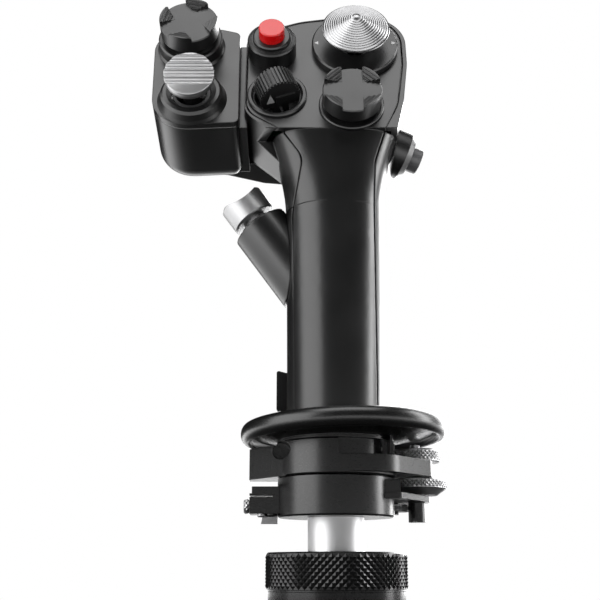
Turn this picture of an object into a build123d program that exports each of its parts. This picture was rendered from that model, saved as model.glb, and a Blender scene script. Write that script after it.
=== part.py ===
"""Flight joystick grip on a metal shaft with a coupling nut.

+Z runs up the shaft, the pilot sits on the -Y side and +X is the pilot's right.
The origin is the centre of the coupling nut's lower face. All sizes are in millimetres.
"""
from build123d import *
import os
from math import cos, radians, sin

# Shaft and coupling nut
shaft_r = 11.0
shaft_bore_r = 8.5
shaft_foot_z = 14.6
nut_skirt_r = 26.3
nut_grip_r = 27.4
nut_grip_z = 8.6
nut_top_z = 22.9
nut_thread_r = 17.0
nut_thread_depth = 14.0
nut_shoulder_z = 18.5
running_gap = 0.08

# Collar, carrier and hand rest around the shaft
collar_r = 22.7
collar_z = 36.0
collar_top_z = 50.8
carrier_r = 23.4
carrier_z = 51.2
carrier_top_z = 64.8
arm_z = 52.2
arm_top_z = 58.5
stud_at = (33.3, 15.2)
stud_r = 2.0
bracket_nut_at = (25.0, 21.0)
rest_x = 3.4
rest_r = 40.9
rest_rim_half_width = 2.6
rest_rim_half_height = 3.7
rest_rim_z = 69.0
rest_lean = (-2.0, -1.5)

# Handle column
handle_z = 76.2
handle_top_z = 211.0
handle_front_y = 21.3
handle_half_width = 19.3
handle_top_half_width = 20.9
wall = 2.6

# Head: its face leans back, and h is the height above the face
face_tilt = 18.0
crease = (0, -21.2, 191.6)
head_depth = 33.5
pod_depth = 38.5
plate = 3.0
seam_width = 0.5
seam_depth = 0.9

# Controls: place on the face (across, up), pivot depth and main radii
red_at = (-26.0, 42.8)
trim_at = (9.7, 46.0)
castle_at = (7.4, 11.6)
mode_at = (-23.6, 17.4)
pod_hat_at = (-61.0, 46.2)
thumb_at = (-59.1, 15.3)
thumb_pad_tilt = 12.0
hat_hole_r = 8.4
mode_hole_r = 10.2
mode_turn = 20.0
mode_arc_height = 3.6
mode_pin_depth = 2.4
pod_hat_turn = 30.0
hat_cap_r = 12.25

# Slanted barrel on the left of the handle and the button on the right of the head
barrel_foot = (-32.9, 4.0, 159.9)
barrel_axis = (-0.583, 0.05, 0.811)
barrel_r = 12.1
side_foot = (29.4, 5.0, 190.5)
side_axis = (0.925, 0.18, -0.335)

# Trigger and paddle on the far side of the handle
trigger_pin_at = (27.6, 186.0)
paddle_pin_at = (28.0, 82.5)

face_plane = Plane(origin=crease, x_dir=(1, 0, 0),
                   z_dir=(0, -cos(radians(face_tilt)), sin(radians(face_tilt))))
face = Location(face_plane)


def turned(*points):
    """Solid of revolution about Z from (radius, height) points."""
    outline = make_face(Polyline(*[(r, 0, h) for r, h in points], close=True))
    return revolve(outline, Axis.Z)


def tube(outer, inner, low, high):
    """Round tube about Z."""
    return turned((inner, low), (outer, low), (outer, high), (inner, high))


def rod(radius, low, high):
    """Round bar about Z."""
    return Pos(0, 0, low) * Cylinder(radius, high - low, align=(Align.CENTER, Align.CENTER, Align.MIN))


def slab(outline, low, high):
    """Flat plate of a closed outline between two heights."""
    return extrude(Pos(0, 0, low) * make_face(outline), high - low)


def block(x0, x1, y0, y1, z0, z1):
    """Box from its lowest to its highest corner."""
    return Pos((x0 + x1) / 2, (y0 + y1) / 2, (z0 + z1) / 2) * Box(x1 - x0, y1 - y0, z1 - z0)


def on_face(at, shape, height=0.0):
    """Put a shape made about Z on the face plane, at a height above it."""
    return face * Pos(at[0], at[1], height) * shape


def along(foot, axis, shape):
    """Put a shape made about Z on a slanted axis."""
    return Location(Plane(origin=foot, x_dir=Vector(*axis).cross(Vector(0, 1, 0)), z_dir=axis)) * shape


def largest(shape):
    """The largest solid of a cut shape."""
    return shape.solids().sort_by(SortBy.VOLUME)[-1]


def super_section(z, half_x, half_y, centre_x, power):
    """Closed smooth handle section: between an ellipse (power 2) and a rounded box."""
    points = []
    for step in range(24):
        angle = radians(step * 15)
        c, s = cos(angle), sin(angle)
        x = half_x * abs(c) ** (2 / power) * (1 if c >= 0 else -1)
        y = half_y * abs(s) ** (2 / power) * (1 if s >= 0 else -1)
        points.append((centre_x + x, y, z))
    return make_face(Spline(*points, periodic=True))


def handle_column(inset):
    """Handle column, wider and squarer towards the head, cut off flush with the face."""
    low = super_section(handle_z, handle_half_width - inset, handle_front_y - inset, 0.1, 2.0)
    middle = super_section(145, handle_half_width + 0.8 - inset, handle_front_y - inset, 0.5, 2.15)
    high = super_section(handle_top_z, handle_top_half_width - inset, handle_front_y + 0.3 - inset, 0.3, 2.5)
    in_front = face * block(-60, 60, -2, 90, -(plate if inset else 0), 60)
    return loft([low, middle, high]) - in_front


def neck(inset):
    """Flare from the round handle to the square head, cut off flush with the face."""
    sections = []
    for z, half_width, power in ((160.0, 20.2, 2.3), (174.0, 21.7, 2.6), (187.0, 24.8, 3.2), (201.0, 28.6, 4.0)):
        sections.append(super_section(z, half_width - inset, handle_front_y - inset, 0.3, power))
    in_front = face * block(-60, 60, -30, 90, -(plate if inset else 0), 60)
    return loft(sections) - in_front


def head_outline():
    corners = [(-37.2, 53.6), (-14, 62.6), (8, 66.2), (32.0, 64.2), (31.9, 36), (29.4, 15),
               (25.2, -4), (18, -12), (-15, -12), (-22, -6), (-37.2, 8.4)]
    rounds = [9, 30, 30, 17, 40, 25, 10, 4, 4, 8, 10]
    return FilletPolyline(*corners, radius=rounds, close=True)


def pod_outline():
    corners = [(-77.4, 57.0), (-48.4, 57.6), (-40.2, 55.2), (-39.4, 2.6), (-60, 1.4), (-75.4, 2.2)]
    rounds = [13, 8, 3.0, 2.5, 20, 15]
    return FilletPolyline(*corners, radius=rounds, close=True)


def head_block(inset):
    """Head box behind the face; its lower end stops at the handle's front."""
    outline = make_face(head_outline())
    if inset:
        outline = offset(outline, -inset)
    solid = extrude(Pos(0, 0, -head_depth + inset) * outline, head_depth - inset - (plate if inset else 0))
    solid = face * solid
    if not inset:
        back = solid.faces().sort_by(Axis((0, 0, 0), face_plane.z_dir))[0]
        solid = fillet(back.edges(), 6)
    return solid - block(-60, 60, -60, -8 + inset, 100, crease[2] - 0.5)


def pod_block(inset):
    outline = make_face(pod_outline())
    if inset:
        outline = offset(outline, -inset)
    solid = extrude(Pos(0, 0, -pod_depth + inset) * outline, pod_depth - inset - (plate if inset else 0))
    solid = face * solid
    if not inset:
        back = solid.faces().sort_by(Axis((0, 0, 0), face_plane.z_dir))[0]
        solid = fillet(back.edges(), 9)
    return solid


def stem_holes():
    """Holes through the front plate for the stems of the head's controls."""
    holes = on_face(red_at, rod(6.6, -plate - 1, 1))
    holes += on_face(trim_at, rod(hat_hole_r, -plate - 1, 1))
    holes += on_face(castle_at, rod(hat_hole_r, -plate - 1, 1))
    return holes + on_face(mode_at, rod(mode_hole_r, -plate - 1, 1))


def front_region(gap=0.0):
    """The space that the front plate takes out of the grip's wall, grown by a gap for the seam."""
    corners = [(-36.2 - gap, 52.8), (-14, 61.6 + gap), (8, 65.0 + gap), (29.8 + gap, 63.2), (29.7 + gap, 36),
               (26.4 + gap, 12), (20, -3), (-19, -3), (-36.2 - gap, 9.0 - gap)]
    rounds = [8, 30, 30, 16, 40, 25, 3, 3, 10]
    face_part = face * slab(FilletPolyline(*corners, radius=rounds, close=True), -plate, 2)
    corners = [(-16.7 - gap, 70), (-16.7 - gap, 158), (-12.6 - gap, 179), (-20.5 - gap, 191.0), (-17, 193), (17, 193),
               (20.6 + gap, 191.0), (16.4 + gap, 178), (15.9 + gap, 160), (15.9 + gap, 70)]
    rounds = [0.5, 18, 8, 0.5, 0.5, 0.5, 0.5, 12, 12, 0.5]
    strip = extrude(Plane.XZ * make_face(FilletPolyline(*corners, radius=rounds, close=True)), 40, both=True)
    return face_part + (strip & block(-40, 40, -30, -11.0, handle_z - 1, 200))


def make_grip_shells():
    """Front plate and the left and right shells, split on the handle's middle plane."""
    outer = handle_column(0) + neck(0) + head_block(0)
    inner = handle_column(wall) + neck(wall) + head_block(wall)
    seam_floor = handle_column(seam_depth) + neck(seam_depth) + head_block(seam_depth)
    skin = outer - inner
    region = front_region()
    front = largest((skin & region) - stem_holes())
    rest = skin - region - (front_region(seam_width) - seam_floor)
    rest -= bridge_opening()
    rest -= along(side_foot, side_axis, rod(6.0, -12, 12))
    rest -= along(barrel_foot, barrel_axis, rod(barrel_r - wall, -34, 5)) + on_face(mode_at, rod(mode_hole_r, -11, 0))
    half = block(-80, 0, -60, 60, 60, 270)
    return {"front_plate": front, "left_shell": largest(rest & half), "right_shell": largest(rest - half)}, outer


def bridge_body(inset):
    """Housing behind the head and the pod; seen from above it is a wedge, deeper at the head."""
    corners = [(-60 + inset, -30), (-60 + inset, -36 + inset), (-46, -37.5 + inset), (-30, -43 + inset),
               (-14 - inset, -45 + inset), (-14 - inset, -30)]
    low, high = 6 + inset, 50 - inset
    plan = make_face(Polyline(*[(u, low, h) for u, h in corners], close=True))
    return face * extrude(plan, high - low, dir=(0, 1, 0))


def bridge_opening():
    """Way for the wires from the pod, through the bridge, to the head."""
    return face * Pos(-38, 28, -32.5) * Box(24, 20, 5)


def make_pod():
    outer = pod_block(0)
    skin = outer - pod_block(wall)
    cover_space = face * slab(pod_outline(), -plate, 2)
    cover = (skin & cover_space) - on_face(pod_hat_at, rod(hat_hole_r, -plate - 1, 1))
    cover -= on_face(thumb_at, rod(hat_hole_r, -plate - 1, 1))
    shell = skin - cover_space - bridge_opening()
    return {"pod_cover": largest(cover), "pod_shell": largest(shell)}, outer


def make_bridge(head, pod):
    web = face * block(-42, -36, 5, 53, -34, -6)
    shell = (bridge_body(0) - bridge_body(wall)) + web - head - pod - bridge_opening()
    return {"bridge_housing": largest(shell)}


def make_hat(name, at, pivot, skirt, cap, stem_top, moulded_in_one=True):
    """Gimballed hat switch: housing, ring on trunnions, stem on a cross pin, and cap."""
    ring_axis = Rot(0, 90, 0)
    pin_axis = Rot(90, 0, 0)
    housing = tube(8.2, 6.7, -8.0, 1.6) + rod(8.2, -9.6, -8.0)
    housing -= ring_axis * rod(0.8 + running_gap, -9, 9)
    housing += rod(2.2, -8.0, -6.6)
    ring = tube(5.9, 4.1, -1.2, 1.2) + ring_axis * rod(0.8, 5.0, 7.8) + ring_axis * rod(0.8, -7.8, -5.0)
    ring -= pin_axis * rod(0.7 + running_gap, -7, 7)
    stem = rod(2.5, -5.4, stem_top - pivot) + pin_axis * rod(0.7, -5.6, 5.6) + skirt
    nodes = {name + "_housing": on_face(at, housing, pivot), name + "_gimbal_ring": on_face(at, ring, pivot)}
    if moulded_in_one:
        nodes[name + "_cap"] = largest(on_face(at, cap, 0) + on_face(at, stem, pivot))
    else:
        nodes[name + "_stem"] = on_face(at, stem, pivot)
        nodes[name + "_cap"] = on_face(at, cap, 0)
    return nodes


def castle_cap(low, high, turn):
    """Round cap with a flat cross; the four corners between its arms rise to the rim in ribbed ramps."""
    body = turned((0, low), (hat_cap_r - 0.5, low), (hat_cap_r, low + 0.6), (hat_cap_r, high - 0.4),
                  (hat_cap_r - 0.4, high), (0, high))
    ramp = extrude(Plane.XZ * make_face(Polyline((5.6, -1), (5.6, 0.1), (7.4, 0.1), (7.6, 0.8), (8.6, 0.5), (9.0, 1.2),
                                                 (10.0, 0.9), (10.4, 1.7), (11.2, 1.5), (11.5, 2.0), (13, 2.0),
                                                 (13, -1), close=True)), 12, both=True)
    corner = block(4.3, 14, 4.3, 14, -1, 4) & rod(hat_cap_r, -1, 4) & (Rot(0, 0, 45) * ramp)
    for quarter in range(4):
        body += Pos(0, 0, high) * Rot(0, 0, 90 * quarter) * corner
    return Rot(0, 0, turn) * largest(body)


def cone_cap():
    """Trim hat: cone with fine turned steps and a small flat tip."""
    points = [(0, 10.0), (13.6, 10.0), (14.45, 10.6), (14.45, 11.3)]
    steps = 12
    for step in range(steps):
        radius = 14.1 - step * (14.1 - 1.6) / steps
        height = 11.5 + step * 6.4 / steps
        points += [(radius, height), (radius - 0.35, height + 0.53)]
    points += [(1.6, 17.9), (0, 17.9)]
    return turned(*points) - rod(2.5, 9, 12)


def make_head_hats():
    nodes = {}
    trim_skirt = turned((2.5, 6.5), (6.0, 6.5), (8.6, 11.0), (8.6, 12.0), (2.5, 12.0))
    nodes.update(make_hat("trim_hat", trim_at, -2.0, trim_skirt, cone_cap(), 12.0, False))
    castle_skirt = rod(3.4, 2.4, 6.4)
    nodes.update(make_hat("castle_hat", castle_at, -3.0, castle_skirt, castle_cap(3.2, 9.6, 0), 5.0))
    pod_skirt = rod(3.4, 5.4, 6.4)
    nodes.update(make_hat("pod_hat", pod_hat_at, 2.0, pod_skirt, castle_cap(8.1, 14.5, pod_hat_turn), 9.0))
    return nodes


def make_bezels(head):
    """Rings and bosses that stand on the face around each control."""
    red = turned((6.6, 0), (10.35, 0), (10.35, 7.4), (9.9, 8.0), (8.9, 8.4), (8.6, 8.2), (8.2, 8.2), (8.0, 9.4),
                 (7.4, 9.9), (5.45 + running_gap, 9.9), (5.45 + running_gap, 2.4), (6.6, 2.4))
    label = turned((7.6, 0), (18.6, 0), (18.6, 2.4), (18.0, 3.0), (7.6, 3.0))
    castle = turned((8.5, 0), (13.6, 0), (13.6, 0.9), (13.2, 1.3), (12.4, 1.3), (12.0, 0.5), (8.5, 0.5))
    mode = turned((10.3, 0), (12.5, 0), (12.5, 0.9), (12.0, 1.4), (10.9, 1.4), (10.3, 0.9))
    hat = turned((8.4, 0), (14.6, 0), (13.7, 1.2), (13.7, 5.4), (13.1, 6.0), (11.6, 6.0), (8.4, 4.4))
    thumb = turned((8.4, 0), (14.6, 0), (13.8, 1.5), (12.9, 4.0), (11.8, 5.0), (10.4, 5.0), (8.4, 4.0))
    return {
        "red_button_bezel": on_face(red_at, red),
        "trim_hat_label_ring": on_face(trim_at, label),
        "castle_hat_bezel": on_face(castle_at, castle) - head,
        "mode_switch_bezel": on_face(mode_at, mode),
        "pod_hat_boss": on_face(pod_hat_at, hat),
        "thumb_switch_boss": on_face(thumb_at, thumb),
    }


def make_thumb_switch():
    """Silver rocker: a tilted round pad with four grooves on a black stem."""
    pad = fillet(Cylinder(10.3, 4.4).edges(), 0.9)
    for groove in range(5):
        pad -= Pos(0, -3.0 + groove * 3.0, 2.7) * Rot(0, 90, 0) * Cylinder(1.05, 30)
    pad = Pos(0, 0, 13.6) * Rot(thumb_pad_tilt, 0, 0) * pad
    pad -= rod(3.6, 9, 12.6)
    stem = rod(3.6, -3.0, 12.6) - Rot(0, 90, 0) * rod(1.0 + running_gap, -5, 5)
    yoke = tube(8.0, 6.6, -8.0, 2.0) + rod(8.0, -9.4, -8.0) + Rot(0, 90, 0) * rod(1.0, -7.0, 7.0)
    stem = Pos(0, 0, 1.5) * (stem - rod(9, 11.1, 14))
    return {
        "thumb_switch_cap": on_face(thumb_at, pad),
        "thumb_switch_stem": on_face(thumb_at, stem),
        "thumb_switch_housing": on_face(thumb_at, yoke, 1.5),
    }


def make_mode_switch():
    """Rocker with a ribbed round top, a bar on its lower end, and a pin low in its round well."""
    drum = Rot(90, 0, 0) * rod(8.6, -4.7, 4.7)
    for rib in range(-7, 8):
        drum -= Rot(0, rib * 11.0, 0) * Pos(0, 0, 8.6) * Box(0.7, 12, 1.7)
    drum = Pos(0, 0, mode_arc_height) * drum - block(-12, 12, -12, 12, -12, -1.0)
    drum += block(-2.2, 6.2, -5.3, -4.7, 0.4, 4.6) + block(-3.6, 3.6, -4.7, 4.7, -5.0, -1.0)
    pin = Pos(0, 0, -mode_pin_depth) * Rot(90, 0, 0)
    drum -= pin * rod(0.65 + running_gap, -6, 6)
    cup = tube(10.1, 9.5, -8.4, -0.1) + rod(10.1, -9.6, -8.4) + pin * rod(0.65, -9.8, 9.8)
    turn = Rot(0, 0, mode_turn)
    return {
        "mode_switch_drum": on_face(mode_at, turn * drum),
        "mode_switch_housing": on_face(mode_at, turn * cup),
    }


def make_red_button():
    cap = fillet(rod(5.45, 3.2, 14.6).edges().group_by(Axis.Z)[-1], 0.6)
    cap = cap + rod(1.6, 1.0, 3.4)
    switch = block(-5.5, 5.5, -5.5, 5.5, -12.0, -4.0) + rod(1.4, -4.0, -2.0)
    return {"red_button_cap": on_face(red_at, cap), "red_button_switch": on_face(red_at, switch)}


def make_barrel(outer):
    """Slanted barrel on the handle's left with its dished silver button."""
    barrel = along(barrel_foot, barrel_axis, tube(barrel_r, barrel_r - wall, -38, -4.0))
    band = along(barrel_foot, barrel_axis, turned((5.3, -7.4), (9.4, -7.4), (9.4, -2.5), (5.3, -2.5)))
    for slot in range(12):
        band -= along(barrel_foot, barrel_axis, Rot(0, 0, slot * 30) * Pos(9.4, 0, -3.2) * Box(1.6, 1.4, 2.0))
    cap = turned((0, 0), (9.0, 0), (9.65, 0.7), (9.65, 10.4), (9.0, 11.0), (0, 11.0))
    dish = Pos(0, 0, 20.4) * Rot(90, 0, 0) * Cylinder(12.2, 40)
    cap = (cap - dish) + rod(5.2, -9.0, 0.5)
    switch = block(-4, 4, -4, 4, -19, -12.0) + rod(1.5, -12.0, -11.4)
    barrel_solid = largest(barrel - outer)
    return {
        "side_barrel": barrel_solid,
        "side_barrel_band": band,
        "side_barrel_button": along(barrel_foot, barrel_axis, cap),
        "side_barrel_switch": along(barrel_foot, barrel_axis, switch),
    }


def make_side_button(outer):
    bezel = turned((5.5, -6), (10.2, -6), (10.2, 1.6), (8.2, 4.0), (5.4 + running_gap, 4.0), (5.4 + running_gap, -1.0),
                   (5.5, -1.0))
    cap = fillet(rod(5.4, 0.4, 9.0).edges().group_by(Axis.Z)[-1], 0.5)
    switch = block(-4, 4, -4, 4, -12, -4.6) + rod(1.3, -4.6, -1.4)
    return {
        "side_button_bezel": largest(along(side_foot, side_axis, bezel) - outer),
        "side_button_cap": along(side_foot, side_axis, cap),
        "side_button_switch": along(side_foot, side_axis, switch),
    }


def make_trigger():
    """Trigger, its housing under the head at the back, and its pin."""
    y, z = trigger_pin_at
    housing = block(-8.5, 8.5, handle_front_y - 2, y + 4, z - 12, z + 6) - handle_column(0) - neck(0)
    slot = block(-4.3, 4.3, handle_front_y - 5, y + 10, z - 30, z + 3.5)
    pin_hole = Pos(0, y, z) * Rot(0, 90, 0) * rod(1.5, -10, 10)
    housing = fillet(housing.edges().filter_by(Axis.Z).sort_by(Axis.Y)[-2:], 2) - slot - pin_hole
    profile = make_face(Polyline((0, y - 3, z + 2.2), (0, y + 2.6, z + 2.2), (0, y + 6.0, z - 12), (0, y + 9.0, z - 22),
                                 (0, y + 13.0, z - 31), (0, y + 10.0, z - 32), (0, y + 5.0, z - 24),
                                 (0, y + 1.5, z - 14), (0, y - 3, z - 6), close=True))
    blade = extrude(profile, 3.8, both=True)
    blade -= Pos(0, y, z) * Rot(0, 90, 0) * rod(1.5 + running_gap, -10, 10)
    pin = Pos(0, y, z) * Rot(0, 90, 0) * rod(1.5, -8.5, 8.5)
    return {"trigger_housing": housing, "trigger": blade, "trigger_pin": pin}


def make_paddle():
    """Pinky paddle on the far side, with an ear that shows on the left of the handle."""
    y, z = paddle_pin_at
    bracket = block(-9, 9, handle_front_y - 4, y + 2.5, z - 4, z + 2.5) - handle_column(0)
    bracket -= block(-6.2, 6.2, handle_front_y + 1.5, y + 8, z - 8, z + 8)
    bracket -= Pos(0, y, z) * Rot(0, 90, 0) * rod(1.25, -12, 12)
    corners = [(-24, z - 1), (-24, z + 16.5), (-18.6, z + 15.5), (-13, z + 30), (13, z + 30), (16, z + 14), (10, z + 5),
               (-10.4, z + 4.2), (-12.4, z - 1)]
    outline = FilletPolyline(*corners, radius=[1, 1, 2, 7, 7, 3, 2, 1, 1], close=True)
    sheet = extrude(Plane.XZ * make_face(outline), 40, both=True)
    curve = Pos(0, -22, 0) * (rod(54.2, 70, 120) - rod(51.4, 60, 130))
    paddle = largest(sheet & curve & block(-40, 40, 0, 60, 60, 130))
    hub = Pos(0, y, z) * Rot(0, 90, 0) * rod(2.4, -5.9, 5.9)
    web = block(-5.9, 5.9, y - 1.0, y + 4.0, z - 1.0, z + 6.0)
    paddle = paddle + hub + web - Pos(0, y, z) * Rot(0, 90, 0) * rod(1.25 + running_gap, -12, 12)
    pin = Pos(0, y, z) * Rot(0, 90, 0) * rod(1.25, -9, 9)
    return {"paddle_bracket": bracket, "paddle_lever": paddle, "paddle_pin": pin}


def make_shaft():
    """Bright tube with a foot flange, and the core that the shells are fixed to."""
    tube_body = tube(shaft_r, shaft_bore_r, shaft_foot_z, 118) + tube(16.4, shaft_bore_r, shaft_foot_z, 18.1)
    core = tube(13.2, shaft_r, handle_z + 0.4, 112)
    connector = rod(shaft_bore_r, 18.0, 30.0) - tube(7.4, 3.0, 17.0, 22.5)
    contacts = Pos(5.2, 0, 18.6) * Cylinder(0.6, 8, align=(Align.CENTER, Align.CENTER, Align.MIN))
    pins = Compound(children=[Rot(0, 0, 60 * n + 30) * contacts for n in range(5)])
    connector -= Compound(children=[Rot(0, 0, 60 * n + 30) * Pos(5.2, 0, 22.4) * Cylinder(
        0.6, 4.2, align=(Align.CENTER, Align.CENTER, Align.MIN)) for n in range(5)])
    return {"shaft_tube": tube_body, "handle_core": core, "connector_body": connector, "connector_contacts": pins}


def make_coupling_nut():
    grip = nut_grip_r
    body = turned((nut_thread_r, 0), (nut_skirt_r - 0.6, 0), (nut_skirt_r, 0.6), (nut_skirt_r, nut_grip_z),
                  (grip - 0.4, nut_grip_z), (grip, nut_grip_z + 0.4), (grip, nut_top_z - 0.6),
                  (grip - 0.6, nut_top_z), (shaft_r + running_gap, nut_top_z),
                  (shaft_r + running_gap, nut_shoulder_z), (nut_thread_r + 0.6, nut_shoulder_z),
                  (nut_thread_r + 0.6, nut_thread_depth), (nut_thread_r, nut_thread_depth))
    return {"coupling_nut": body}


def make_collar():
    """Collar clamped on the shaft, with the stud's bracket on its right and a clamp block on its left."""
    collar = turned((shaft_r, collar_z), (collar_r - 0.6, collar_z), (collar_r, collar_z + 0.6),
                    (collar_r, collar_top_z), (shaft_r, collar_top_z))
    lever_outline = FilletPolyline((12, -14), (24.4, -14), (38.2, 9.5), (38.2, 20.5), (30, 27.5), (18, 27.5), (8, 16),
                                   radius=[0.5, 3, 5, 5, 5, 5, 0.5], close=True)
    bracket = slab(lever_outline, 42.6, 44.9) + block(12, 24.2, -13.5, 3.6, 44.9, 49.7)
    bracket += at_stud(rod(3.4, 34.9, 42.6))
    bracket -= rod(collar_r, 30, 60) + at_stud(rod(stud_r, 36, 60))
    bracket += Pos(*bracket_nut_at) * rod(1.6, 38.2, 42.6)
    wheel = Pos(*bracket_nut_at) * turned((1.6 + running_gap, 39.4), (5.9, 39.4), (6.4, 39.9), (6.4, 41.8),
                                          (5.9, 42.3), (1.6 + running_gap, 42.3))
    clamp = block(-33.5, -14, -6.5, 6.5, 37.3, 47.6) - rod(collar_r, 30, 60) - block(-34, -24.5, -8, 8, 43.6, 44.2) - block(-34, -32.6, -8, 8, 45.0, 48)
    screw_axis = Pos(0, 1.0, 40.4) * Rot(0, 90, 0)
    clamp -= screw_axis * rod(1.2 + running_gap, -40, -25.8)
    screw = screw_axis * (rod(2.9, -36.0, -33.8) + rod(1.2, -33.9, -26.4))
    tab = extrude(Plane.XZ * make_face(Polyline((-29.2, 33.7), (-21.6, 33.7), (-22.3, 37.3), (-28.4, 37.3), close=True)),
                  0.9, both=True) - rod(collar_r, 30, 60)
    return {"clamp_collar": collar, "stud_bracket": largest(bracket), "height_stud": at_stud(rod(stud_r, 36, 66)),
            "bracket_nut": wheel, "clamp_block": largest(clamp),
            "clamp_block_screw": screw, "index_tab": tab}


def at_stud(shape):
    return Pos(*stud_at) * shape


def make_carrier():
    """Ring that carries the hand rest: lug with a cross hole on the left, arm on the right."""
    bore_r = shaft_r + running_gap
    ring = turned((bore_r, carrier_z), (carrier_r - 0.5, carrier_z), (carrier_r, carrier_z + 0.5),
                  (carrier_r, carrier_top_z - 0.6), (carrier_r - 0.6, carrier_top_z), (bore_r, carrier_top_z))
    lug = slab(Polyline((-19.5, -12.5), (-34.3, 7), (-34.3, 15), (-15, 17), close=True), carrier_z, 63.4)
    arm_outline = FilletPolyline((1, -23.3), (19, -22.0), (38.6, 3), (39.6, 16), (34, 24), (14, 18),
                                 radius=[0.5, 18, 8, 6, 5, 0.5], close=True)
    arm = slab(arm_outline, arm_z, arm_top_z)
    sides = (lug + arm) - rod(carrier_r - 1, 40, 80)
    recess = block(0.4, 30, -30, -6, arm_top_z, 70) - rod(20.6, 50, 80)
    carrier = largest(ring - recess + sides)
    carrier -= Pos(-21.3, 0, 61.2) * Rot(90, 0, 0) * rod(3.6, 2, 30)
    return {"rest_carrier": largest(carrier - at_stud(rod(stud_r + 0.35, 40, 80)))}


def make_hand_rest():
    """Dished disc with a rolled rim; the rim and web lean a little, the hub is square to the shaft."""
    rim_centre = rest_r - rest_rim_half_width
    web = turned((18.0, 64.9), (24.0, 65.6), (rim_centre - 2, rest_rim_z - 0.9), (rim_centre, rest_rim_z),
                 (rim_centre - 2, rest_rim_z + 1.6), (24.0, 68.0), (18.0, 67.5))
    rim = revolve(Plane.XZ * Pos(rim_centre, rest_rim_z) * Ellipse(rest_rim_half_width, rest_rim_half_height), Axis.Z)
    lean = Pos(rest_x, 0, rest_rim_z) * Rot(rest_lean[0], rest_lean[1], 0) * Pos(0, 0, -rest_rim_z)
    hub = tube(23.0, shaft_r + running_gap, carrier_top_z, 67.8)
    rib = block(20.4, 21.4, -15, -9, 59.2, 66.4)
    rest = (lean * (web + rim)) - rod(19.0, 60, 80) - rod(23.8, 60, carrier_top_z) + hub + rib
    return {"hand_rest": largest(rest)}


def make_height_nuts():
    """Knurled nuts above and below the carrier's arm on the stud."""
    nuts = {}
    bore_r = stud_r + running_gap
    for name, radius, low, high in (("upper_height_nut", 10.4, 58.8, 63.9), ("lower_height_nut", 12.6, 47.2, 51.9)):
        nuts[name] = at_stud(turned((bore_r, low), (radius - 0.6, low), (radius, low + 0.6), (radius, high - 0.6),
                                    (radius - 0.6, high), (bore_r, high)))
    return nuts


def case_screw_sites():
    """(x of the right wall, y, z) of the screws that hold the two shells together."""
    return ((12.2, 16.5, 92.0), (16.6, 12.0, 128.0), (17.4, 12.0, 160.0), (31.6, 18.3, 220.8))


def fasten_shells(nodes):
    """Screws put in from the right; their bosses stand in the left shell."""
    screws = []
    for x, y, z in case_screw_sites():
        site = Pos(0, y, z) * Rot(0, 90, 0)
        nodes["right_shell"] -= site * (rod(2.7, x - 2.0, x + 6) + rod(1.3, 0, x))
        boss_end = 3.2 - x if x < 30 else -20
        nodes["left_shell"] += site * rod(3.0, boss_end + 1.2, -0.3)
        nodes["left_shell"] -= site * rod(1.2, boss_end + 4, 1)
        screws.append(site * (rod(2.6, x - 2.0, x - 0.4) + rod(1.2, boss_end + 4, x - 1.9)))
    nodes["case_screws"] = Compound(children=screws)


def make_circuit_board():
    outline = FilletPolyline((-32, 50), (26, 50), (22, 26), (12, 6), (-12, 6), (-30, 16), radius=3, close=True)
    return {"main_circuit_board": face * slab(outline, -22.0, -20.4)}


def build():
    nodes, outer = make_grip_shells()
    pod, pod_outer = make_pod()
    fasten_shells(nodes)
    for group in (pod, make_bridge(outer, pod_outer), make_head_hats(), make_bezels(outer), make_thumb_switch(),
                  make_mode_switch(), make_red_button(), make_barrel(outer), make_side_button(outer), make_trigger(),
                  make_paddle(), make_shaft(), make_coupling_nut(), make_collar(), make_carrier(), make_hand_rest(),
                  make_height_nuts(), make_circuit_board()):
        nodes.update(group)
    return nodes


os.makedirs("parts", exist_ok=True)
for name, shape in build().items():
    export_step(shape, f"parts/{name}.step")
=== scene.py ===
"""Flight joystick grip on its metal shaft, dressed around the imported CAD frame.

+Z runs up the shaft, the pilot sits on the -Y side, and all sizes here are in metres.
"""
from math import atan2, cos, radians, sin, tau

import bpy
from mathutils import Matrix, Vector


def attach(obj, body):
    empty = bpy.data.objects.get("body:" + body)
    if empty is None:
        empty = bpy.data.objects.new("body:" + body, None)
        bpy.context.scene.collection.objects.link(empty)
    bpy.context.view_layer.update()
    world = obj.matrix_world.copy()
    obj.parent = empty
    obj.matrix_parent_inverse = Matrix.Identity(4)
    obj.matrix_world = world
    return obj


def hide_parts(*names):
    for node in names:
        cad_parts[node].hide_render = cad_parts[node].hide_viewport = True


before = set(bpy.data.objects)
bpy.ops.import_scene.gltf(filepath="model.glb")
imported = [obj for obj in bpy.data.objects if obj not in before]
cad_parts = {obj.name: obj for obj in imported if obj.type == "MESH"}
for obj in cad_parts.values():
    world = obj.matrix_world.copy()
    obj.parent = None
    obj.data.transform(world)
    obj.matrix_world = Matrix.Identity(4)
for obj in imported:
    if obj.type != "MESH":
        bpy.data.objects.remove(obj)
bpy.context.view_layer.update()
mm = 0.001


# ---------------------------------------------------------------------------------------------
# Studio. The floor and the surround are white to the camera. The glow they shed is weak near the
# grip and rises farther out. Soft boxes: wide at the left, overhead for the sloping face, a strip
# at the right, and a large panel behind on the right.
# ---------------------------------------------------------------------------------------------

def soft_box(name, place, target, width, height, watts, spread=180):
    bpy.ops.object.light_add(type="AREA", location=place)
    lamp = bpy.context.object
    lamp.name = name
    lamp.data.shape = "RECTANGLE"
    lamp.data.size = width
    lamp.data.size_y = height
    lamp.data.energy = watts
    lamp.data.spread = radians(spread)
    aim = Vector(target) - Vector(place)
    lamp.rotation_euler = aim.to_track_quat("-Z", "Y").to_euler()
    return lamp


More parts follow.
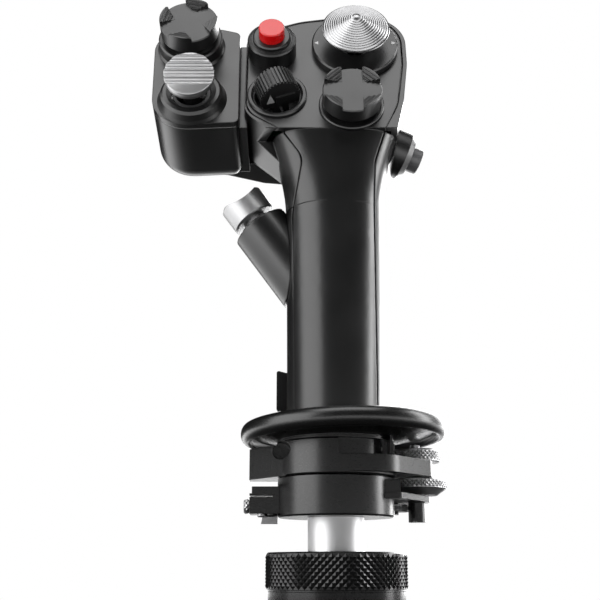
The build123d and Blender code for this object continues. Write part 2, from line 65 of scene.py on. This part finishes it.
bpy.ops.object.select_all(action="DESELECT")
soft_box("left_box", (-1.02, -0.5, 0.42), (0, 0, 0.18), 1.2, 1.2, 19)
soft_box("overhead_box", (0.0, -0.45, 1.05), (0, 0, 0.22), 1.1, 0.6, 9)
soft_box("right_strip", (1.0, 0.1, 0.35), (0, 0, 0.18), 0.3, 1.1, 12)
soft_box("rear_panel", (0.5, 1.0, 0.45), (0, 0, 0.18), 1.0, 1.5, 44)

surround = bpy.data.worlds.new("surround")
bpy.context.scene.world = surround
surround.use_nodes = True
sky = surround.node_tree
for node in list(sky.nodes):
    sky.nodes.remove(node)
seen = sky.nodes.new("ShaderNodeBackground")
seen.inputs["Color"].default_value = (1, 1, 1, 1)
seen.inputs["Strength"].default_value = 1.0
shed = sky.nodes.new("ShaderNodeBackground")
shed.inputs["Color"].default_value = (1, 1, 1, 1)
shed.inputs["Strength"].default_value = 0.02
ray = sky.nodes.new("ShaderNodeLightPath")
choose = sky.nodes.new("ShaderNodeMixShader")
sky_out = sky.nodes.new("ShaderNodeOutputWorld")
sky.links.new(ray.outputs["Is Camera Ray"], choose.inputs[0])
sky.links.new(shed.outputs[0], choose.inputs[1])
sky.links.new(seen.outputs[0], choose.inputs[2])
sky.links.new(choose.outputs[0], sky_out.inputs["Surface"])

floor_z = -0.0004
bpy.ops.mesh.primitive_plane_add(size=6, location=(0, 0, floor_z))
floor = bpy.context.object
floor.name = "floor"
floor_paint = bpy.data.materials.new("floor_paint")
floor_paint.use_nodes = True
paint = floor_paint.node_tree
for node in list(paint.nodes):
    paint.nodes.remove(node)
where_on_floor = paint.nodes.new("ShaderNodeTexCoord")
reach = paint.nodes.new("ShaderNodeVectorMath")
reach.operation = "LENGTH"
fade = paint.nodes.new("ShaderNodeMapRange")
fade.interpolation_type = "SMOOTHSTEP"
fade.inputs["From Min"].default_value = 0.16
fade.inputs["From Max"].default_value = 0.5
fade.inputs["To Min"].default_value = 0.05
fade.inputs["To Max"].default_value = 3.0
shed_glow = paint.nodes.new("ShaderNodeEmission")
seen_glow = paint.nodes.new("ShaderNodeEmission")
floor_ray = paint.nodes.new("ShaderNodeLightPath")
floor_choose = paint.nodes.new("ShaderNodeMixShader")
floor_out = paint.nodes.new("ShaderNodeOutputMaterial")
paint.links.new(where_on_floor.outputs["Object"], reach.inputs[0])
paint.links.new(reach.outputs["Value"], fade.inputs["Value"])
paint.links.new(fade.outputs["Result"], shed_glow.inputs["Strength"])
paint.links.new(floor_ray.outputs["Is Camera Ray"], floor_choose.inputs[0])
paint.links.new(shed_glow.outputs[0], floor_choose.inputs[1])
paint.links.new(seen_glow.outputs[0], floor_choose.inputs[2])
paint.links.new(floor_choose.outputs[0], floor_out.inputs["Surface"])
floor.data.materials.append(floor_paint)

bpy.ops.object.camera_add(location=(-0.014, -0.398, 0.0165), rotation=(radians(90 + 15.1), 0, 0))
camera = bpy.context.object
camera.name = "camera"
camera.data.lens = 60
camera.data.sensor_width = 36
camera.data.clip_start = 0.01
bpy.context.scene.camera = camera
bpy.context.scene.view_settings.view_transform = "Standard"


# ---------------------------------------------------------------------------------------------
# Coupling nut. Black anodised aluminium, turned with a plain skirt below and a band of diamond
# knurl above. It screws the grip to its base, and turns freely on the shaft's flange.
# ---------------------------------------------------------------------------------------------

def only(piece):
    """Select one piece alone."""
    bpy.ops.object.select_all(action="DESELECT")
    piece.select_set(True)
    bpy.context.view_layer.objects.active = piece


def turn(name, profile, steps=96, closed=False):
    """Turned part about Z from (radius, height) points in mm: a circle, extruded and scaled along them.
    A closed profile comes back to its first point, as a ring's does. An open one is filled at both ends."""
    radius, height = profile[0]
    bpy.ops.object.select_all(action="DESELECT")
    bpy.ops.mesh.primitive_circle_add(vertices=steps, radius=radius * mm, location=(0, 0, height * mm))
    piece = bpy.context.object
    piece.name = name
    bpy.ops.object.transform_apply(location=True, rotation=True, scale=True)
    bpy.ops.object.mode_set(mode="EDIT")
    bpy.ops.mesh.select_all(action="SELECT")
    if not closed and radius > 0.3:
        bpy.ops.mesh.edge_face_add()
    for next_radius, next_height in profile[1:] + (profile[:1] if closed else []):
        bpy.ops.mesh.extrude_edges_move(TRANSFORM_OT_translate={"value": (0, 0, (next_height - height) * mm)})
        if next_radius != radius:
            scale = next_radius / radius
            bpy.ops.transform.resize(value=(scale, scale, 1), center_override=(0, 0, 0))
        radius, height = next_radius, next_height
    if closed:
        bpy.ops.mesh.select_all(action="SELECT")
        bpy.ops.mesh.remove_doubles(threshold=0.000002)
    elif radius > 0.3:
        bpy.ops.mesh.edge_face_add()
    bpy.ops.mesh.select_all(action="SELECT")
    bpy.ops.mesh.normals_make_consistent(inside=False)
    bpy.ops.object.mode_set(mode="OBJECT")
    return piece


def break_edges(piece, width, segments=2, angle=32):
    """Round a piece's hard edges off by a width in mm, then shade the rest smooth."""
    only(piece)
    bevel = piece.modifiers.new("edges", "BEVEL")
    bevel.width = width * mm
    bevel.segments = segments
    bevel.limit_method = "ANGLE"
    bevel.angle_limit = radians(angle)
    bevel.miter_outer = "MITER_ARC"
    bpy.ops.object.modifier_apply(modifier="edges")
    bpy.ops.object.shade_smooth_by_angle(angle=radians(40))


def place(piece, matrix):
    """Move a piece made about Z to its place, and leave its object at the origin."""
    only(piece)
    piece.matrix_world = matrix
    bpy.ops.object.transform_apply(location=True, rotation=True, scale=True)
    return piece


def finish_piece(piece, body, slot, material, *nodes):
    """Give a piece its finish, and say which body it rides on and which nodes it stands for."""
    piece.data.materials.clear()
    piece.data.materials.append(material)
    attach(piece, body)
    if nodes:
        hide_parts(*nodes)
    return piece


knurl_crease = 18


def knurled_ring(name, radius, low, high, columns, rows, depth):
    """Mantle of diamond knurl about Z: rows of points, every second one pressed in by the knurl's depth."""
    bpy.ops.object.select_all(action="DESELECT")
    bpy.ops.mesh.primitive_circle_add(vertices=columns, radius=radius * mm, location=(0, 0, low * mm))
    piece = bpy.context.object
    piece.name = name
    bpy.ops.object.transform_apply(location=True, rotation=True, scale=True)
    bpy.ops.object.mode_set(mode="EDIT")
    bpy.ops.mesh.select_all(action="SELECT")
    for row in range(rows):
        bpy.ops.mesh.extrude_edges_move(TRANSFORM_OT_translate={"value": (0, 0, (high - low) / rows * mm)})
    bpy.ops.object.mode_set(mode="OBJECT")
    column_angle = tau / columns
    for vertex in piece.data.vertices:
        column = round(atan2(vertex.co.y, vertex.co.x) / column_angle)
        row = round((vertex.co.z / mm - low) / (high - low) * rows)
        vertex.select = 0 < row < rows and (column + row) % 2 == 1
        if row in (0, rows):
            vertex.select = True
    bpy.ops.object.mode_set(mode="EDIT")
    bpy.ops.mesh.select_mode(type="VERT")
    scale = (radius - depth) / radius
    bpy.ops.transform.resize(value=(scale, scale, 1), center_override=(0, 0, 0))
    bpy.ops.mesh.select_all(action="SELECT")
    bpy.ops.mesh.quads_convert_to_tris(quad_method="SHORTEST_DIAGONAL")
    return piece


def ends_for_ring(piece, radius, profile_low, profile_high):
    """Close a knurled ring with turned ends: from each rim the profile runs to the bore, and the bore is bridged."""
    bpy.ops.object.mode_set(mode="OBJECT")
    heights = [v.co.z for v in piece.data.vertices]
    ends = ((min(heights), profile_low), (max(heights), profile_high))
    for rim_height, profile in ends:
        for vertex in piece.data.vertices:
            vertex.select = False
        for edge in piece.data.edges:
            edge.select = False
        for face in piece.data.polygons:
            face.select = False
        for vertex in piece.data.vertices:
            vertex.select = abs(vertex.co.z - rim_height) < 1e-7
        bpy.ops.object.mode_set(mode="EDIT")
        bpy.ops.mesh.select_mode(type="VERT")
        bpy.ops.mesh.select_mode(type="EDGE")
        now_radius, now_height = radius, rim_height / mm
        for next_radius, next_height in profile:
            bpy.ops.mesh.extrude_edges_move(TRANSFORM_OT_translate={"value": (0, 0, (next_height - now_height) * mm)})
            scale = next_radius / now_radius
            bpy.ops.transform.resize(value=(scale, scale, 1), center_override=(0, 0, 0))
            now_radius, now_height = next_radius, next_height
        bpy.ops.object.mode_set(mode="OBJECT")
    bpy.ops.object.mode_set(mode="EDIT")
    bpy.ops.mesh.select_all(action="SELECT")
    bpy.ops.mesh.remove_doubles(threshold=0.000002)
    bpy.ops.mesh.select_all(action="SELECT")
    bpy.ops.mesh.normals_make_consistent(inside=False)
    bpy.ops.object.mode_set(mode="OBJECT")
    only(piece)
    bpy.ops.object.shade_smooth_by_angle(angle=radians(knurl_crease))


def new_material(name):
    material = bpy.data.materials.new(name)
    material.use_nodes = True
    nodes = material.node_tree.nodes
    shader = nodes["Principled BSDF"]
    place_on = nodes.new("ShaderNodeTexCoord")
    return material, nodes, material.node_tree.links, shader, place_on.outputs["Object"]


def add_grain(nodes, links, where, scale, detail=3.0, stretch=(1, 1, 1)):
    """Noise of a size per metre, stretched along an axis where a tool or a brush has run."""
    fit = nodes.new("ShaderNodeMapping")
    fit.inputs["Scale"].default_value = stretch
    links.new(where, fit.inputs["Vector"])
    grain = nodes.new("ShaderNodeTexNoise")
    grain.inputs["Scale"].default_value = scale
    grain.inputs["Detail"].default_value = detail
    links.new(fit.outputs[0], grain.inputs["Vector"])
    return grain.outputs["Fac"]


def between(nodes, links, source, low, high, from_low=0.3, from_high=0.7):
    span = nodes.new("ShaderNodeMapRange")
    span.inputs["From Min"].default_value = from_low
    span.inputs["From Max"].default_value = from_high
    span.inputs["To Min"].default_value = low
    span.inputs["To Max"].default_value = high
    links.new(source, span.inputs["Value"])
    return span.outputs["Result"]


def shades(nodes, links, source, dark, light):
    ramp = nodes.new("ShaderNodeValToRGB")
    ramp.color_ramp.elements[0].position = 0.3
    ramp.color_ramp.elements[0].color = (*dark, 1)
    ramp.color_ramp.elements[1].position = 0.7
    ramp.color_ramp.elements[1].color = (*light, 1)
    links.new(source, ramp.inputs["Fac"])
    return ramp.outputs["Color"]


def add_bump(nodes, links, shader, height, strength, distance, edge=0.0):
    """Fine relief, on top of edges that a tool or a mould leaves slightly round."""
    bump = nodes.new("ShaderNodeBump")
    if edge:
        softened = nodes.new("ShaderNodeBevel")
        softened.samples = 6
        softened.inputs["Radius"].default_value = edge
        links.new(softened.outputs[0], bump.inputs["Normal"])
    bump.inputs["Strength"].default_value = strength
    bump.inputs["Distance"].default_value = distance
    links.new(height, bump.inputs["Height"])
    links.new(bump.outputs["Normal"], shader.inputs["Normal"])


def metal(name, dark, light, rough_low, rough_high, metallic=1.0, grain_scale=900, stretch=(1, 1, 6), bump=0.04,
          edge=0.0003):
    """Turned or brushed metal: fine marks that run round the part, and slight changes of shade and gloss."""
    material, nodes, links, shader, where = new_material(name)
    marks = add_grain(nodes, links, where, grain_scale, 4, stretch)
    cloud = add_grain(nodes, links, where, 60, 3)
    links.new(shades(nodes, links, cloud, dark, light), shader.inputs["Base Color"])
    links.new(between(nodes, links, marks, rough_low, rough_high), shader.inputs["Roughness"])
    shader.inputs["Metallic"].default_value = metallic
    add_bump(nodes, links, shader, marks, bump, 0.0001, edge)
    return material


def plastic(name, dark, light, rough_low, rough_high, grain_scale=3200, bump=0.12, edge=0.0004):
    """Moulded plastic: an even fine grain from the tool, with slight changes of shade and gloss."""
    material, nodes, links, shader, where = new_material(name)
    grain = add_grain(nodes, links, where, grain_scale, 2)
    cloud = add_grain(nodes, links, where, 45, 4)
    links.new(shades(nodes, links, cloud, dark, light), shader.inputs["Base Color"])
    links.new(between(nodes, links, cloud, rough_low, rough_high), shader.inputs["Roughness"])
    add_bump(nodes, links, shader, grain, bump, 0.00004, edge)
    return material


black_anodised = metal("black_anodised", (0.0022, 0.0022, 0.0023), (0.0036, 0.0036, 0.0037), 0.26, 0.34, 0.0)
black_knurl = metal("black_knurl", (0.006, 0.006, 0.0062), (0.01, 0.01, 0.0103), 0.18, 0.26, 0.3, edge=0)

nut = knurled_ring("coupling_nut_knurled", 27.4, 9.4, 22.3, 132, 10, 0.5)
ends_for_ring(nut, 26.9,
              [(26.4, 9.2), (26.4, 8.7), (26.3, 8.5), (26.3, 0.5), (25.8, 0.0), (17.0, 0.0), (17.0, 14.0),
               (17.6, 14.0), (17.6, 18.5), (11.08, 18.5), (11.08, 22.9)],
              [(26.4, 22.9), (11.08, 22.9)])
finish_piece(nut, "coupling_nut", "black_knurled", black_knurl, "coupling_nut")


# ---------------------------------------------------------------------------------------------
# Shaft. A ground and polished steel tube with a foot flange inside the nut, and the round
# connector with its gold contacts pressed into its lower end.
# ---------------------------------------------------------------------------------------------

def dress(material, *names):
    """Give CAD nodes that keep their shape their finish."""
    for name in names:
        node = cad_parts[name]
        for place_for_it in node.material_slots:
            place_for_it.material = material


polished_steel = metal("polished_steel", (0.6, 0.6, 0.605), (0.68, 0.68, 0.685), 0.42, 0.5, 1.0, 700, (1, 1, 9), 0.02)
gold = metal("gold_contacts", (0.8, 0.56, 0.22), (0.88, 0.66, 0.3), 0.2, 0.3)
inner_nylon = plastic("inner_nylon", (0.006, 0.006, 0.0065), (0.01, 0.01, 0.0105), 0.5, 0.62)
dress(polished_steel, "shaft_tube")
dress(gold, "connector_contacts")
dress(inner_nylon, "connector_body", "handle_core")


# ---------------------------------------------------------------------------------------------
# Clamp collar and what is bolted to it. Satin black anodised aluminium: the collar, the lever
# that carries the stud, and the clamp block on the left with its steel index tab.
# ---------------------------------------------------------------------------------------------

nickel = metal("nickel", (0.42, 0.42, 0.425), (0.52, 0.52, 0.525), 0.42, 0.5, 1.0, 1200, (1, 1, 1), 0.03, edge=0)
grey_steel = metal("grey_steel", (0.3, 0.3, 0.305), (0.38, 0.38, 0.385), 0.34, 0.46)
dress(black_anodised, "clamp_collar", "stud_bracket", "clamp_block")
dress(grey_steel, "index_tab", "height_stud")

clamp_screw_at, set_screw_at, boss_at = (-0.036, 0.001, 0.0404), (-0.0288, -0.0048, 0), (-0.0252, -0.0035, 0)
thumbscrew = knurled_ring("clamp_thumbscrew", 2.9, 0.25, 1.95, 26, 3, 0.35)
ends_for_ring(thumbscrew, 2.55, [(2.2, 0.0), (0.4, 0.0), (0.02, 0.05)],
              [(2.2, 2.2), (1.2, 2.2), (1.2, 9.6), (0.02, 9.6)])
place(thumbscrew, Matrix.Translation(clamp_screw_at) @ Matrix.Rotation(radians(90), 4, "Y"))
finish_piece(thumbscrew, "clamp_screw", "steel", nickel, "clamp_block_screw")

screw_head = turn("clamp_block_set_screw", [(1.25, 36.0), (1.6, 36.3), (1.6, 37.6)], 32)
break_edges(screw_head, 0.12)
place(screw_head, Matrix.Translation(set_screw_at))
finish_piece(screw_head, "grip", "steel", grey_steel)
clamp_boss = turn("clamp_block_boss", [(1.9, 36.2), (2.3, 36.6), (2.3, 38.2)], 40)
break_edges(clamp_boss, 0.2)
place(clamp_boss, Matrix.Translation(boss_at))
finish_piece(clamp_boss, "grip", "black_metal", black_anodised)


# ---------------------------------------------------------------------------------------------
# Height nuts and bracket nut. Nickel-plated steel discs with a diamond knurl. The two height nuts
# clamp the carrier's arm between them on the stud, and the lower one has a coned underside.
# ---------------------------------------------------------------------------------------------

stud_at, bracket_nut_at = (0.0333, 0.0152, 0), (0.025, 0.021, 0)
upper_nut = knurled_ring("upper_height_nut_knurled", 10.4, 59.2, 63.5, 72, 5, 0.34)
ends_for_ring(upper_nut, 10.06, [(9.5, 58.8), (2.1, 58.8)], [(9.5, 63.9), (2.1, 63.9), (2.1, 58.8)])
lower_nut = knurled_ring("lower_height_nut_knurled", 12.6, 48.3, 51.5, 88, 4, 0.34)
ends_for_ring(lower_nut, 12.26, [(11.9, 48.0), (8.6, 45.6), (2.1, 45.6)], [(11.7, 51.9), (2.1, 51.9), (2.1, 45.6)])
for nut_piece, nut_body, nut_node in ((upper_nut, "upper_nut", "upper_height_nut"),
                                      (lower_nut, "lower_nut", "lower_height_nut")):
    place(nut_piece, Matrix.Translation(stud_at))
    finish_piece(nut_piece, nut_body, "steel", nickel, nut_node)

wheel = knurled_ring("bracket_nut_knurled", 6.4, 39.7, 42.0, 60, 4, 0.3)
ends_for_ring(wheel, 6.1, [(5.7, 39.4), (1.7, 39.4)], [(5.7, 42.3), (1.7, 42.3), (1.7, 39.4)])
place(wheel, Matrix.Translation(bracket_nut_at))
finish_piece(wheel, "bracket_wheel", "steel", nickel, "bracket_nut")


# ---------------------------------------------------------------------------------------------
# Rest carrier and hand rest. Milled and turned aluminium, satin black: the ring with its lug and
# arm slides on the shaft, and the dished rest with its rolled rim is fixed on top of it.
# ---------------------------------------------------------------------------------------------

dress(black_anodised, "rest_carrier", "hand_rest")


# ---------------------------------------------------------------------------------------------
# Handle, head and pod. Moulded shells with a very fine matt grain and a soft sheen; the front
# plate, the two shells and the pod's cover meet at narrow seams.
# ---------------------------------------------------------------------------------------------

satin_shell = plastic("satin_shell", (0.0022, 0.0022, 0.0023), (0.0032, 0.0032, 0.0033), 0.28, 0.34, 2600, 0.05,
                      edge=0.0007)
dress(satin_shell, "front_plate", "left_shell", "right_shell", "pod_cover", "pod_shell", "bridge_housing",
      "side_barrel", "trigger_housing", "paddle_bracket")
dark_steel = metal("dark_steel", (0.06, 0.06, 0.062), (0.1, 0.1, 0.103), 0.32, 0.44)
dress(dark_steel, "case_screws", "trigger_pin", "paddle_pin")
dress(inner_nylon, "trim_hat_housing", "castle_hat_housing", "pod_hat_housing", "thumb_switch_housing",
      "mode_switch_housing", "red_button_switch", "side_barrel_switch", "side_button_switch", "trim_hat_gimbal_ring",
      "castle_hat_gimbal_ring", "pod_hat_gimbal_ring")
board_lacquer = plastic("board_lacquer", (0.01, 0.07, 0.03), (0.02, 0.11, 0.05), 0.3, 0.4)
dress(board_lacquer, "main_circuit_board")


# ---------------------------------------------------------------------------------------------
# Controls in fine matt black: hat caps, bezels, bosses, the rocker and the side button.
# ---------------------------------------------------------------------------------------------

matt_control = plastic("matt_control", (0.0024, 0.0024, 0.0025), (0.0036, 0.0036, 0.0037), 0.34, 0.42, 2600, 0.05,
                       edge=0.0002)
dress(matt_control, "castle_hat_cap", "pod_hat_cap", "trim_hat_stem", "thumb_switch_stem", "red_button_bezel",
      "castle_hat_bezel", "mode_switch_bezel", "pod_hat_boss", "thumb_switch_boss", "trim_hat_label_ring",
      "mode_switch_drum", "side_button_bezel", "side_barrel_band", "trigger", "paddle_lever")
grey_button = plastic("grey_button", (0.05, 0.05, 0.052), (0.07, 0.07, 0.072), 0.36, 0.44, 2600, 0.05, edge=0.0002)
dress(grey_button, "side_button_cap")


# ---------------------------------------------------------------------------------------------
# Trim hat cap. Turned from bright aluminium: a cone of fine steps, like a screw thread's crests,
# up to a small round tip. White arrowheads printed on the ring below show its four directions.
# ---------------------------------------------------------------------------------------------

def on_head(across, up, height):
    """Place on the sloping face: across and up it, and above it, in mm from the crease's middle."""
    lean = radians(18)
    outward = Vector((0, -cos(lean), sin(lean)))
    along_up = Vector((0, sin(lean), cos(lean)))
    spot = Vector((0, -21.2, 191.6)) + across * Vector((1, 0, 0)) + up * along_up + height * outward
    frame_of_face = Matrix((Vector((1, 0, 0)), along_up, outward)).transposed().to_4x4()
    return Matrix.Translation(spot * mm) @ frame_of_face


def thin_arrow(name, radius, stretch, thickness):
    """Arrowhead on a part: a thin three-sided plate, stretched along its point, used for print and for a painted
    highlight.
    """
    bpy.ops.object.select_all(action="DESELECT")
    bpy.ops.mesh.primitive_circle_add(vertices=3, radius=radius * mm, fill_type="NGON")
    arrow = bpy.context.object
    arrow.name = name
    bpy.ops.object.mode_set(mode="EDIT")
    bpy.ops.mesh.select_all(action="SELECT")
    bpy.ops.transform.resize(value=(1.0, stretch, 1), center_override=(0, 0, 0))
    bpy.ops.mesh.extrude_region_move(TRANSFORM_OT_translate={"value": (0, 0, thickness * mm)})
    bpy.ops.mesh.select_all(action="SELECT")
    bpy.ops.mesh.normals_make_consistent(inside=False)
    bpy.ops.object.mode_set(mode="OBJECT")
    return arrow


bright_cone = metal("bright_cone", (0.24, 0.24, 0.243), (0.3, 0.3, 0.304), 0.26, 0.36, 1.0, 500, (1, 1, 1), 0.02,
                    edge=0)
trim_hat_at = (9.7, 46.0)
ring_top, mark_radius = 2.98, 16.4
cone_profile = [(8.6, 10.1), (13.5, 10.05), (14.2, 10.4), (14.45, 10.8), (14.35, 11.2), (13.9, 11.4)]
cone_steps = 13
for step in range(cone_steps):
    crest = 13.75 - step * (13.75 - 1.7) / cone_steps
    rise = 11.55 + step * 6.0 / cone_steps
    cone_profile += [(crest, rise), (crest - 0.3, rise + 0.36), (crest - 0.62, rise + 0.3)]
cone_profile += [(1.5, 17.55), (1.1, 17.8), (0.5, 17.9)]
cone = turn("trim_hat_cone", cone_profile, 120)
only(cone)
bpy.ops.object.shade_smooth_by_angle(angle=radians(24))
place(cone, on_head(*trim_hat_at, 0))
finish_piece(cone, "trim_hat", "bright_aluminium", bright_cone, "trim_hat_cap")

white_print = plastic("white_print", (0.42, 0.42, 0.42), (0.5, 0.5, 0.5), 0.45, 0.55, edge=0)
for number in range(4):
    arrow = thin_arrow(f"direction_mark_{number}", 1.1, 1.0, 0.06)
    turned_to = Matrix.Rotation(radians(90 * number), 4, "Z")
    place(arrow, on_head(*trim_hat_at, ring_top) @ turned_to @ Matrix.Translation((0, mark_radius * mm, 0)))
    finish_piece(arrow, "grip", "bright_aluminium", white_print)


# ---------------------------------------------------------------------------------------------
# Silver controls. The thumb pad and the dished barrel button are bead-blasted aluminium.
# ---------------------------------------------------------------------------------------------

blasted = metal("blasted_aluminium", (0.27, 0.27, 0.273), (0.32, 0.32, 0.323), 0.36, 0.46, 1.0, 3000, (1, 1, 1), 0.08)
dress(blasted, "side_barrel_button")

thumb_at, pad_height, pad_tilt = (-59.1, 15.3), 13.6, 12
groove_radius, groove_pitch = 1.75, 3.4
pad = turn("thumb_pad", [(9.2, -2.2), (9.9, -1.9), (10.2, -1.3), (10.3, 1.6), (10.1, 2.0), (9.7, 2.2)], 96)
for groove in range(5):
    bpy.ops.object.select_all(action="DESELECT")
    bpy.ops.mesh.primitive_cylinder_add(vertices=64, radius=groove_radius * mm, depth=26 * mm,
                                        rotation=(0, radians(90), 0),
                                        location=(0, (-3.6 + groove * groove_pitch) * mm, 2.95 * mm))
    cutter = bpy.context.object
    only(pad)
    cut = pad.modifiers.new("groove", "BOOLEAN")
    cut.operation = "DIFFERENCE"
    cut.solver = "EXACT"
    cut.object = cutter
    bpy.ops.object.modifier_apply(modifier="groove")
    bpy.data.objects.remove(cutter)
break_edges(pad, 0.22, 3, 30)
place(pad, on_head(*thumb_at, pad_height) @ Matrix.Rotation(radians(pad_tilt), 4, "X"))
finish_piece(pad, "thumb_switch", "bright_aluminium", blasted, "thumb_switch_cap")


# ---------------------------------------------------------------------------------------------
# Mode rocker's pointer. A pale arrowhead on the flat end of the rocker, beside its bar. Its pale
# grey is a painted highlight, standing in for the light that a raised, tilted wedge catches there.
# ---------------------------------------------------------------------------------------------

# Painted highlight: the pale grey stands in for the light that the rocker's tilted wedge catches.
pale_wedge_highlight = plastic("pale_wedge_highlight", (0.16, 0.16, 0.16), (0.2, 0.2, 0.2), 0.45, 0.55, edge=0)
pointer = thin_arrow("mode_switch_pointer", 2.1, 1.5, 0.08)
mode_at, mode_turn = (-23.6, 17.4), 20.0
flat_end = on_head(*mode_at, 0) @ Matrix.Rotation(radians(mode_turn), 4, "Z") @ Matrix.Rotation(radians(90), 4, "X")
place(pointer, flat_end @ Matrix.Translation((-4.4 * mm, 3.2 * mm, 4.66 * mm)))
finish_piece(pointer, "mode_switch", "bright_aluminium", pale_wedge_highlight)


# ---------------------------------------------------------------------------------------------
# Red push button. Gloss moulded plastic, glossy enough to show the soft boxes.
# ---------------------------------------------------------------------------------------------

gloss_red = plastic("gloss_red", (0.36, 0.0005, 0.001), (0.4, 0.001, 0.0015), 0.26, 0.32, 1500, 0.02, edge=0.0003)
dress(gloss_red, "red_button_cap")
